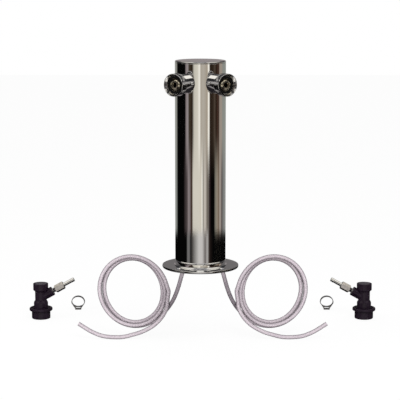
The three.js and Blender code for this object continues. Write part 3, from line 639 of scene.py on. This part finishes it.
# Coupling nuts: turned and polished, with a wide bevelled mouth, a thread for the tap inside
# and six holes round the side for a spanner. They turn loose behind the shanks' flanges.
nut_radius = 16.8
nut_mouth = 16.2
nut_thread = 13.6
nut_bevel = 4.6
nut_chamfer = 0.8
nut_thread_depth = 0.35
nut_thread_start = flange_front + 1.0
spanner_holes = 6
spanner_hole = 2.5
spanner_depth = 1.6
nut_rear = tap_reach - nut_length
turned_steel = finish_with_marks(
    "turned_steel", (0.86, 0.86, 0.865), (0.84, 0.84, 0.845), 1.0,
    (40.0, 1200.0, 0.11, 0.17), 0.02, 0.0001)
nut_threads = []
crest = tap_reach - nut_bevel - 0.3
while crest > nut_thread_start:
    nut_threads += [(nut_thread, crest), (nut_thread + nut_thread_depth, crest - pitch / 2)]
    crest -= pitch
for name, side in hands:
    nut = turned(f"tap_nut_{name}", [
        (shank_radius + fit, nut_rear), (nut_radius, nut_rear, nut_chamfer),
        (nut_radius, tap_reach - nut_chamfer, 0.5), (nut_mouth, tap_reach, 0.25),
        (nut_thread, tap_reach - nut_bevel, 0.3), *nut_threads,
        (nut_thread, nut_rear + nut_lip), (shank_radius + fit, nut_rear + nut_lip)],
        128, along_tap(side))
    holes = []
    for i in range(spanner_holes):
        spot = (along_tap(side)
                @ Matrix.Rotation(math.pi * (2 * i + 1) / spanner_holes, 4, "Z")
                @ Matrix.Translation((0, 0, (nut_rear + nut_length / 2) * mm))
                @ Matrix.Rotation(math.pi / 2, 4, "Y"))
        holes.append(turned("spanner_hole", [
            (0, nut_radius - spanner_depth), (spanner_hole, nut_radius - spanner_depth, 0.3),
            (spanner_hole, nut_radius + overshoot), (0, nut_radius + overshoot)], 32, spot))
    drilled(nut, holes)
    fitted(nut, turned_steel, f"coupling_nut_{name}", "polished", f"coupling_nut_{name}")

# Seat washers: black rubber rings round the noses, at the bottom of the nuts, that the taps
# press on. Their rubber is painted darker than the gasket's, near pure black, as shade deep
# inside the nuts.
shaded_washer_rubber = finish_with_marks(
    "shaded_washer_rubber", (0.002, 0.002, 0.002), (0.005, 0.005, 0.005), 0.0,
    (60.0, 1500.0, 0.6, 0.8), 0.3, 0.0002)
shader_of(shaded_washer_rubber)["Specular IOR Level"].default_value = 0.2
washer_rear = flange_front + fit
washer_front = flange_front + 1.5
for name, side in hands:
    washer = turned(f"nose_washer_{name}", [
        (nose_radius + fit, washer_rear, 0.2), (shank_flange_radius, washer_rear, 0.3),
        (shank_flange_radius, washer_front, 0.3), (nose_radius + fit, washer_front, 0.2)],
        64, along_tap(side))
    fitted(washer, shaded_washer_rubber, "tower", "rubber", f"seat_washer_{name}")

# Inside the column: saddle washers and lock nuts that pull the shanks tight, the bent tail
# pipes, and the clamps on the lines, of machined and tumbled steel. The couplers' balls,
# poppets and rubber seals are finished alike.
machined_steel = finish_with_marks(
    "machined_steel", (0.62, 0.62, 0.6), (0.5, 0.5, 0.49), 1.0,
    (150.0, 1200.0, 0.22, 0.4), 0.1, 0.0002)
inside_finishes = {"steel": machined_steel, "rubber": gasket_rubber}
slots = {part["node"]: part["material_slot"] for part in frame["record"]["subparts"]}
for node, part in frame["nodes"].items():
    finish = inside_finishes.get(slots[node])
    if finish is not None:
        part.data.materials.clear()
        part.data.materials.append(finish)

# Beer lines: clear vinyl tube, 6.35 mm outside and 4.3 mm inside, faintly pink from its
# plasticiser. Each is pushed over a tail pipe, runs down the column and leaves through the
# worktop, is coiled as it came off its roll, and ends cut square.
line_radius = 3.175
line_bore = 2.15
kit_axis = 3.5
line_top = 255.0
lean_start = 232.05
hidden_route = [
    (5.592, -8.290, line_top), (5.592, -8.290, lean_start), (7.506, -7.010, 189.975),
    (11.506, -4.000, 130.05), (16.993, -0.495, 70.125), (23.508, 1.9, 13.7),
    (27.508, 4.0, 0.3)]
drop_route = [
    (27.508, 4.0, 0), (31.508, 6.1, -13.4), (38.6, 30, -42.2), (47.2, 60, -68.2),
    (57.9, 84, -88.6)]
tail_route = [
    (54.6, 68.5, -64.6), (57.1, 60.5, -80.8), (63.9, 54.5, -92.6), (71.5, 50.5, -100.4),
    (79, 48.5, -106.1), (94.2, 46.3, -113.8), (109.9, 46, -118.9), (125.1, 45.8, -122.3),
    (141, 45.5, -122.5), (156.9, 45.5, -120.4), (172.8, 46.2, -114.2), (194, 49, -101.7)]
coil_out, coil_back, coil_drop = 109.1, 86.0, 57.3
coil_radius, coil_oval, oval_heading = 51.0, 2.3, math.radians(122)
stray_mean, stray_more = 3.9, 0.85
lobe_heading, waist_heading = math.radians(240), math.radians(175)
stack_start, stack_pitch, stack_dip = 13.7, 7.2, math.radians(9.4)
coil_lean, coil_start, coil_phase = math.radians(15.6), math.radians(-62), math.radians(9)
coil_travel = 2 * math.pi * 91 / 24
coil_steps = 273
hidden_steps, loose_steps = 10, 8
straight_end, straight_middle = 6.35, 3.2
bored_rings = 4


def kit_point(side, out, back, height):
    """A point beside the tower, measured out from the middle between the two lines."""
    return Vector((kit_axis + side * out, back, height))


def coil_point(side, travel):
    """A point of the coil: slightly oval turns, stacked from the back to the front."""
    angle = coil_start - travel
    oval = coil_oval * math.cos(2 * (angle - oval_heading))
    lobes = math.cos(angle - lobe_heading) + math.cos(2 * (angle - waist_heading))
    stray = (stray_mean + stray_more * lobes) * math.cos(coil_phase + travel / 4)
    radius = coil_radius + oval + stray
    rise = radius * math.sin(angle)
    behind = stack_start - stack_pitch * travel / (2 * math.pi) + rise * math.tan(coil_lean)
    return kit_point(
        side, coil_out - radius * math.cos(angle),
        coil_back + rise * math.sin(stack_dip) + behind * math.cos(stack_dip),
        rise * math.cos(stack_dip) - behind * math.sin(stack_dip) - coil_drop)


def coil_heading(side, travel):
    """Which way the coil runs at a point of it."""
    step = math.radians(0.1)
    return (coil_point(side, travel + step) - coil_point(side, travel - step)).normalized()


def smooth_run(points, steps):
    """Points of a centripetal spline through the given ones."""
    rows = [2 * points[0] - points[1], *points, 2 * points[-1] - points[-2]]
    run = [points[0]]
    for p0, p1, p2, p3 in zip(rows, rows[1:], rows[2:], rows[3:]):
        d0, d1, d2 = ((b - a).length ** 0.5 for a, b in ((p0, p1), (p1, p2), (p2, p3)))
        t1 = ((p1 - p0) / d0 - (p2 - p0) / (d0 + d1) + (p2 - p1) / d1) * d1
        t2 = ((p2 - p1) / d1 - (p3 - p1) / (d1 + d2) + (p3 - p2) / d2) * d1
        for i in range(1, steps + 1):
            t = i / steps
            run.append(p1 + t1 * t + (3 * (p2 - p1) - 2 * t1 - t2) * t * t
                       + (2 * (p1 - p2) + t1 + t2) * t * t * t)
    return run


def line_piece(name, run, through, sides=20):
    """A tube along a run of points: bored right through, or bored only at its free end."""
    across = None
    frames = []
    for i, point in enumerate(run):
        along = (run[min(i + 1, len(run) - 1)] - run[max(i - 1, 0)]).normalized()
        if across is None:
            across = along.orthogonal().normalized()
        across = (across - along * across.dot(along)).normalized()
        frames.append((point, across.copy(), along.cross(across)))
    if through:
        rings = [(f, line_radius) for f in frames] + [(f, line_bore) for f in reversed(frames)]
    else:
        rings = [(f, line_radius) for f in frames]
        rings += [(f, line_bore) for f in reversed(frames[-bored_rings:])]
    points = []
    for (middle, right, up), radius in rings:
        for i in range(sides):
            angle = 2 * math.pi * i / sides
            points.append(middle + radius * (math.cos(angle) * right + math.sin(angle) * up))
    pairs = [(i, i + 1) for i in range(len(rings) - 1)]
    faces = []
    if through:
        pairs.append((len(rings) - 1, 0))
    else:
        faces += [tuple(range(sides)), tuple(range(len(points) - sides, len(points)))]
    for low, high in pairs:
        for i in range(sides):
            j = (i + 1) % sides
            faces.append((low * sides + i, low * sides + j, high * sides + j, high * sides + i))
    piece = piece_from(name, points, faces)
    outward(piece)
    return piece


clear_vinyl = finish_with_marks(
    "clear_vinyl", (0.68, 0.60, 0.65), (0.74, 0.66, 0.705), 0.0, (45.0, 500.0, 0.05, 0.12))
vinyl = shader_of(clear_vinyl)
vinyl["Transmission Weight"].default_value = 0.22
vinyl["IOR"].default_value = 1.2
# The tube's colour darkens towards the edges that the lens sees side-on: painted shade for the
# dark rim of a clear tube.
tube_middle = vinyl["Base Color"].links[0].from_socket
painted_rim_shade = (0.085, 0.07, 0.088)
rim = add_node(clear_vinyl.node_tree, "ShaderNodeLayerWeight", {"Blend": 0.64})
feed(vinyl["Base Color"], colour_mix(rim.outputs["Facing"], tube_middle, painted_rim_shade))
for name, side in hands:
    hidden = [Vector((side * out + kit_axis * max(0.0, 1 - height / lean_start), back, height))
              for out, back, height in hidden_route]
    inside = line_piece(f"line_in_column_{name}", smooth_run(hidden, hidden_steps), True)
    fitted(inside, clear_vinyl, "tower", "vinyl", f"line_hidden_{name}")

    turns = [coil_point(side, coil_travel * i / coil_steps) for i in range(coil_steps + 1)]
    start, leaving = coil_heading(side, 0.0), coil_heading(side, coil_travel)
    first, final = turns[0] - straight_end * start, turns[-1] + straight_end * leaving
    drop = [kit_point(side, *row) for row in drop_route]
    drop += [first - (straight_end + fit) * start, first - fit * start]
    tail = [final + fit * leaving, final + (straight_end + fit) * leaving]
    tail += [kit_point(side, *row) for row in tail_route]
    run = (smooth_run(drop, loose_steps) + [turns[0] - straight_middle * start] + turns
           + [turns[-1] + straight_middle * leaving] + smooth_run(tail, loose_steps))
    line = line_piece(f"coiled_line_{name}", run, False)
    line.visible_glossy = False
    fitted(line, clear_vinyl, "tower", "vinyl",
           f"line_drop_{name}", f"line_coil_{name}", f"line_tail_{name}")

# Keg couplers: bodies moulded in black glass-filled nylon, with a ball cage at the foot, a
# trunk, a round head and a slanted side arm, all bored through for the beer.
coupler_out = 266.5
coupler_back = 186.0
coupler_height = 58.5
arm_angle = math.radians(29)
arm_start = 34.9
arm_length = 22.9
arm_radius = 7.6
foot_radius, foot_start, foot_top = 12.2, 0.8, 1.6
cage_radius, cage_top = 10.9, 17.2
shoulder_radius, shoulder_top = 12.8, 18.5
waist_radius, waist_top = 11.6, 27.1
trunk_radius, trunk_start, trunk_top = 9.45, 30.8, 45.3
head_radius, head_start = 12.3, 47.7
post_bore, post_depth = 9.1, 16.0
pin_hole = 2.3
spring_room, spring_floor = 7.5, 20.0
plug_recess, recess_depth = 10.2, 3.2
beer_way = 2.0
stem_hole, stem_depth = 3.5, 6.0
ball_hole, ball_reach, ball_height = 1.9, 13.0, 3.7
black_nylon = finish_with_marks(
    "black_nylon", (0.009, 0.004, 0.010), (0.017, 0.009, 0.019), 0.0,
    (90.0, 1100.0, 0.25, 0.42), 0.12, 0.0003)
shader_of(black_nylon)["Specular IOR Level"].default_value = 0.3


def at_coupler(side):
    """The frame of a coupler that stands on its foot, with its arm towards the tower."""
    turn = 0.0 if side < 0 else math.pi
    return (Matrix.Translation(Vector((
        (kit_axis + side * coupler_out) * mm, coupler_back * mm, stand_level)))
        @ Matrix.Rotation(turn, 4, "Z"))


def along_arm(side):
    """The frame of a coupler's arm: its own Z axis points out along the arm."""
    return (at_coupler(side) @ Matrix.Translation((0, 0, arm_start * mm))
            @ Matrix.Rotation(math.pi / 2 - arm_angle, 4, "Y"))


for name, side in hands:
    here, arm_frame = at_coupler(side), along_arm(side)
    body = turned(f"keg_coupler_{name}", [
        (0, foot_start), (foot_radius, foot_start, 0.2), (foot_radius, foot_top),
        (cage_radius, foot_top), (cage_radius, cage_top), (shoulder_radius, cage_top, 0.3),
        (shoulder_radius, shoulder_top, 0.3), (waist_radius, shoulder_top),
        (waist_radius, waist_top, 0.6), (trunk_radius, trunk_start, 0.8),
        (trunk_radius, trunk_top, 0.5), (head_radius, head_start, 0.5),
        (head_radius, coupler_height, 0.5), (0, coupler_height)], 72, here)
    arm = turned("arm", [
        (0, 0), (arm_radius, 0), (arm_radius, arm_length, 0.7), (0, arm_length)],
        56, arm_frame)
    drilled(body, [arm], "UNION")
    tools = [
        turned("cage_bore", [
            (0, 0), (post_bore, 0), (post_bore, post_depth, 0.4), (0, post_depth)], 64, here),
        round_bar("pin_hole", pin_hole, 0, spring_floor + overshoot, 32, here),
        turned("head_recess", [
            (0, spring_floor), (spring_room, spring_floor),
            (spring_room, coupler_height - recess_depth),
            (plug_recess, coupler_height - recess_depth),
            (plug_recess, coupler_height + overshoot), (0, coupler_height + overshoot)],
            64, here),
        round_bar("beer_way", beer_way, 0, arm_length + overshoot, 24, arm_frame),
        round_bar("stem_hole", stem_hole, arm_length - stem_depth, arm_length + overshoot, 32,
                  arm_frame)]
    for i in range(3):
        tools.append(round_bar(
            "ball_hole", ball_hole, 0, ball_reach, 24,
            here @ Matrix.Rotation(2 * math.pi * i / 3, 4, "Z")
            @ Matrix.Translation((0, 0, ball_height * mm))
            @ Matrix.Rotation(math.pi / 2, 4, "Y")))
    drilled(body, tools)
    fitted(body, black_nylon, "tower", "black", f"coupler_body_{name}")

# Release collars: moulded rings round the ball cages, pulled up against a spring by the
# fingers under their wide rims, which frees the balls from the keg's post.
ring_radius, ring_bore, ring_top = 15.2, 12.7, 16.7
grip_radius, grip_start, grip_top = 18.9, 13.0, 18.0
grip_bore = 15.7
spring_bore = 13.4
ledge_bore, ledge_start, ledge_top = 11.4, 1.9, 5.5
for name, side in hands:
    collar = turned(f"pull_collar_{name}", [
        (ring_bore, 0, 0.3), (ring_radius, 0, 1.6), (ring_radius, grip_start, 0.8),
        (grip_radius, grip_start, 2.2), (grip_radius, grip_top, 2.0),
        (grip_bore, grip_top, 0.8), (ring_radius, ring_top), (spring_bore, ring_top, 0.2),
        (spring_bore, ledge_top), (ledge_bore, ledge_top), (ledge_bore, ledge_start),
        (ring_bore, ledge_start)], 96, at_coupler(side))
    fitted(collar, black_nylon, f"release_collar_{name}", "black", f"release_collar_{name}")

# Collar springs: hard-drawn steel wire wound in four curls, that stand on the ledges inside the
# collars and press them down. Their upper ends stay under the bodies' shoulders.
spring_curls = 4


def pressed_spring(name, node, place, curl_radius, wire, foot, top):
    """A wire spring wound evenly between two heights."""
    steps, sides = 36, 12
    points = []
    for i in range(spring_curls * steps + 1):
        angle = 2 * math.pi * i / steps
        middle = foot + wire / 2 + (top - foot - wire) * i / (spring_curls * steps)
        for j in range(sides):
            turn = 2 * math.pi * j / sides
            reach = curl_radius + wire / 2 * math.cos(turn)
            points.append((reach * math.cos(angle), reach * math.sin(angle),
                           middle + wire / 2 * math.sin(turn)))
    faces = [tuple(range(sides)), tuple(range(len(points) - sides, len(points)))]
    for i in range(spring_curls * steps):
        for j in range(sides):
            a, b = i * sides + j, i * sides + (j + 1) % sides
            faces.append((a, b, b + sides, a + sides))
    spring = piece_from(name, points, faces, place)
    outward(spring)
    fitted(spring, machined_steel, "tower", "steel", node)
    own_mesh(spring)


for name, side in hands:
    pressed_spring(f"wound_collar_spring_{name}", f"collar_spring_{name}",
                   at_coupler(side),
                   curl_radius=12.6, wire=1.0, foot=5.8, top=16.9)

# Poppet springs: thin wire wound round the stems of the poppets, between their heads and the
# plugs, that shut the valves when a coupler is taken off its keg.
for name, side in hands:
    pressed_spring(f"wound_poppet_spring_{name}", f"poppet_spring_{name}",
                   at_coupler(side),
                   curl_radius=2.2, wire=0.8, foot=23.0, top=40.7)

# Plugs: screwed into the couplers' heads over the poppets and their springs, with a slot
# across the top for a coin or a wide driver.
# Their nylon is a lighter grey copy of the bodies' black nylon: a painted highlight for the
# plug tops, lit from above.
top_lit_nylon = finish_with_marks(
    "top_lit_nylon", (0.05, 0.044, 0.053), (0.09, 0.082, 0.094), 0.0,
    (90.0, 1100.0, 0.3, 0.5), 0.12, 0.0003)
plug_radius, plug_foot = 7.0, 41.0
groove_radius, groove_foot, groove_top = 5.0, 50.7, 53.3
plug_head_radius, plug_head_foot = 9.9, 55.6
slot_reach, slot_half, slot_depth = 12.0, 1.1, 1.4
for name, side in hands:
    plug = turned(f"slotted_plug_{name}", [
        (0, plug_foot), (plug_radius, plug_foot, 0.3), (plug_radius, groove_foot),
        (groove_radius, groove_foot), (groove_radius, groove_top), (plug_radius, groove_top),
        (plug_radius, plug_head_foot), (plug_head_radius, plug_head_foot),
        (plug_head_radius, coupler_height, 0.7), (0, coupler_height)], 64, at_coupler(side))
    slot_cut = piece_from("slot_cut", [
        (x, y, coupler_height + z) for x in (-slot_reach, slot_reach)
        for y in (-slot_half, slot_half) for z in (-slot_depth, slot_depth)],
        [(0, 1, 3, 2), (4, 6, 7, 5), (0, 4, 5, 1), (2, 3, 7, 6), (0, 2, 6, 4), (1, 5, 7, 3)],
        at_coupler(side))
    outward(slot_cut)
    drilled(plug, [slot_cut])
    fitted(plug, top_lit_nylon, "tower", "black", f"cap_plug_{name}")

# Flare stems: turned stainless, screwed into the arms, with a cone behind the thread that the
# swivel nuts ride on.
bright_steel = finish_with_marks(
    "bright_steel", (0.60, 0.575, 0.565), (0.40, 0.385, 0.38), 1.0,
    (300.0, 1400.0, 0.1, 0.22), 0.08, 0.0001)
stem_bore, stem_radius, stem_start = 1.7, 3.2, arm_length - 5.7
cone_start, cone_end = arm_length + 1.2, arm_length + 5.2
flare_radius, flare_start = 4.4, 34.8
flare_face_radius, flare_face = 2.4, 36.8
for name, side in hands:
    stem = turned(f"arm_stem_{name}", [
        (stem_bore, stem_start), (stem_radius, stem_start), (stem_radius, cone_start, 0.3),
        (flare_radius, cone_end, 0.3), (flare_radius, flare_start, 0.3),
        (flare_face_radius, flare_face), (stem_bore, flare_face)], 48, along_arm(side))
    fitted(stem, polished_steel, "tower", "steel", f"flare_stem_{name}")

# Flare washers: thin rings punched from milky nylon and laid between the stems and the barbs,
# which the swivel nuts squeeze until they seal.
milky_nylon = finish_with_marks(
    "milky_nylon", (0.8, 0.78, 0.7), (0.7, 0.68, 0.6), 0.0,
    (200.0, 1500.0, 0.4, 0.55), 0.1, 0.0001)
seal_bore, seal_radius, seal_start, seal_end = 2.0, 4.2, 37.1, 37.9
seal_round = 0.2
for name, side in hands:
    washer = turned(f"flare_ring_{name}", [
        (seal_bore, seal_start, seal_round), (seal_radius, seal_start, seal_round),
        (seal_radius, seal_end, seal_round), (seal_bore, seal_end, seal_round)],
        40, along_arm(side))
    fitted(washer, milky_nylon, "tower", "nylon", f"flare_washer_{name}")

# Swivel nuts: hexagon bar, chamfered and drilled, that turn on the stems and pull the barbs
# tight. Tumbled bright, with softened corners.
swivel_start = cone_end
swivel_end = swivel_start + 15.4
half_flats = 5.75
corner_radius = 6.95
corner_chamfer = 1.2
swivel_bore, swivel_neck, neck_length = 4.9, 3.65, 4.2
for name, side in hands:
    arm_frame = along_arm(side)
    corner = half_flats / math.cos(math.pi / 6)
    ring = [(corner * math.cos(math.pi * i / 3), corner * math.sin(math.pi * i / 3))
            for i in range(6)]
    hexagon = piece_from(
        f"hexagon_nut_{name}",
        [(x, y, z) for z in (swivel_start, swivel_end) for x, y in ring],
        [(5, 4, 3, 2, 1, 0), (6, 7, 8, 9, 10, 11)]
        + [(i, (i + 1) % 6, 6 + (i + 1) % 6, 6 + i) for i in range(6)], arm_frame)
    outward(hexagon)
    rounding = turned("rounding", [
        (0, swivel_start), (half_flats, swivel_start),
        (corner_radius, swivel_start + corner_chamfer),
        (corner_radius, swivel_end - corner_chamfer), (half_flats, swivel_end),
        (0, swivel_end)], 64, arm_frame)
    drilled(hexagon, [rounding], "INTERSECT")
    bore = turned("nut_bore", [
        (0, swivel_start - overshoot), (swivel_bore, swivel_start - overshoot),
        (swivel_bore, swivel_end - neck_length), (swivel_neck, swivel_end - neck_length),
        (swivel_neck, swivel_end + overshoot), (0, swivel_end + overshoot)], 48, arm_frame)
    drilled(hexagon, [bore])
    fitted(hexagon, bright_steel, f"swivel_nut_{name}", "steel", f"swivel_nut_{name}")

# Hose barbs: turned stainless tails with two sharp ridges, held in the swivel nuts by their
# heads, for a line to be pushed over.
barb_bore, barb_start, barb_tip = 1.2, 38.2, 63.0
barb_head_radius, barb_head_end = 4.2, 39.0
tail_radius, ridge_radius, ridge_length = 3.15, 3.45, 2.6
for name, side in hands:
    barb = turned(f"ridged_barb_{name}", [
        (barb_bore, barb_start), (barb_head_radius, barb_start, 0.15),
        (barb_head_radius, barb_head_end, 0.15), (tail_radius, barb_head_end, 0.2),
        (tail_radius, barb_tip - 2 * ridge_length, 0.2),
        (ridge_radius, barb_tip - 2 * ridge_length),
        (tail_radius, barb_tip - ridge_length, 0.1), (ridge_radius, barb_tip - ridge_length),
        (tail_radius, barb_tip, 0.2), (barb_bore, barb_tip)], 48, along_arm(side))
    fitted(barb, polished_steel, "tower", "steel", f"hose_barb_{name}")

# Loose clamps: bands of stainless strip, each with an ear that is crimped once with pincers
# to close it on a line. They stand on their ears.
clamp_out = 210.0
clamp_back = 247.2
clamp_radius = 11.3
clamp_rise = 10.0
clamp_bore = 10.2
clamp_upper_bore = 8.9
clamp_lower_bore = 7.9
clamp_width = 7.0
leg_start = math.radians(12)
ear_half, ear_foot_half, ear_start, ear_foot = 5.2, 4.9, 10.9, 13.1
ear_slot_half, ear_slot_start, ear_slot_end = 4.0, 8.7, 11.2
strip_edge = 0.2
band_steps, bore_steps = 60, 80
band_steel = finish_with_marks(
    "band_steel", (0.36, 0.36, 0.37), (0.26, 0.26, 0.27), 1.0,
    (140.0, 900.0, 0.2, 0.38), 0.08, 0.0002)
outer_loop = [(clamp_radius * math.cos(a), clamp_rise * math.sin(a)) for a in (
    -leg_start + (math.pi + 2 * leg_start) * i / band_steps for i in range(band_steps + 1))]
outer_loop += [(-ear_half, -ear_start), (-ear_foot_half, -ear_foot),
               (ear_foot_half, -ear_foot), (ear_half, -ear_start)]
bore_loop = []
for i in range(bore_steps):
    angle = 2 * math.pi * i / bore_steps
    height = clamp_upper_bore if math.sin(angle) > 0 else clamp_lower_bore
    bore_loop.append((clamp_bore * math.cos(angle), height * math.sin(angle)))
slot_loop = [(-ear_slot_half, -ear_slot_start), (ear_slot_half, -ear_slot_start),
             (ear_slot_half, -ear_slot_end), (-ear_slot_half, -ear_slot_end)]
for name, side in hands:
    strip = bpy.data.curves.new(f"ear_clamp_{name}", "CURVE")
    strip.dimensions = "2D"
    strip.fill_mode = "BOTH"
    strip.extrude = (clamp_width / 2 - strip_edge) * mm
    strip.bevel_depth = strip_edge * mm
    strip.offset = -strip_edge * mm
    strip.bevel_resolution = 1
    for loop in (outer_loop, bore_loop, slot_loop):
        spline = strip.splines.new("POLY")
        spline.points.add(len(loop) - 1)
        for point, (x, y) in zip(spline.points, loop):
            point.co = (x * mm, y * mm, 0.0, 1.0)
        spline.use_cyclic_u = True
    drawn = placed("drawn_strip", strip)
    band = placed(f"ear_clamp_{name}", final_mesh(drawn))
    bpy.data.objects.remove(drawn)
    band.matrix_world = Matrix.Translation(Vector((
        (kit_axis + side * clamp_out) * mm, clamp_back * mm,
        stand_level + ear_foot * mm))) @ Matrix.Rotation(math.pi / 2, 4, "X")
    outward(band)
    fitted(band, band_steel, "tower", "steel", f"line_clamp_{name}")
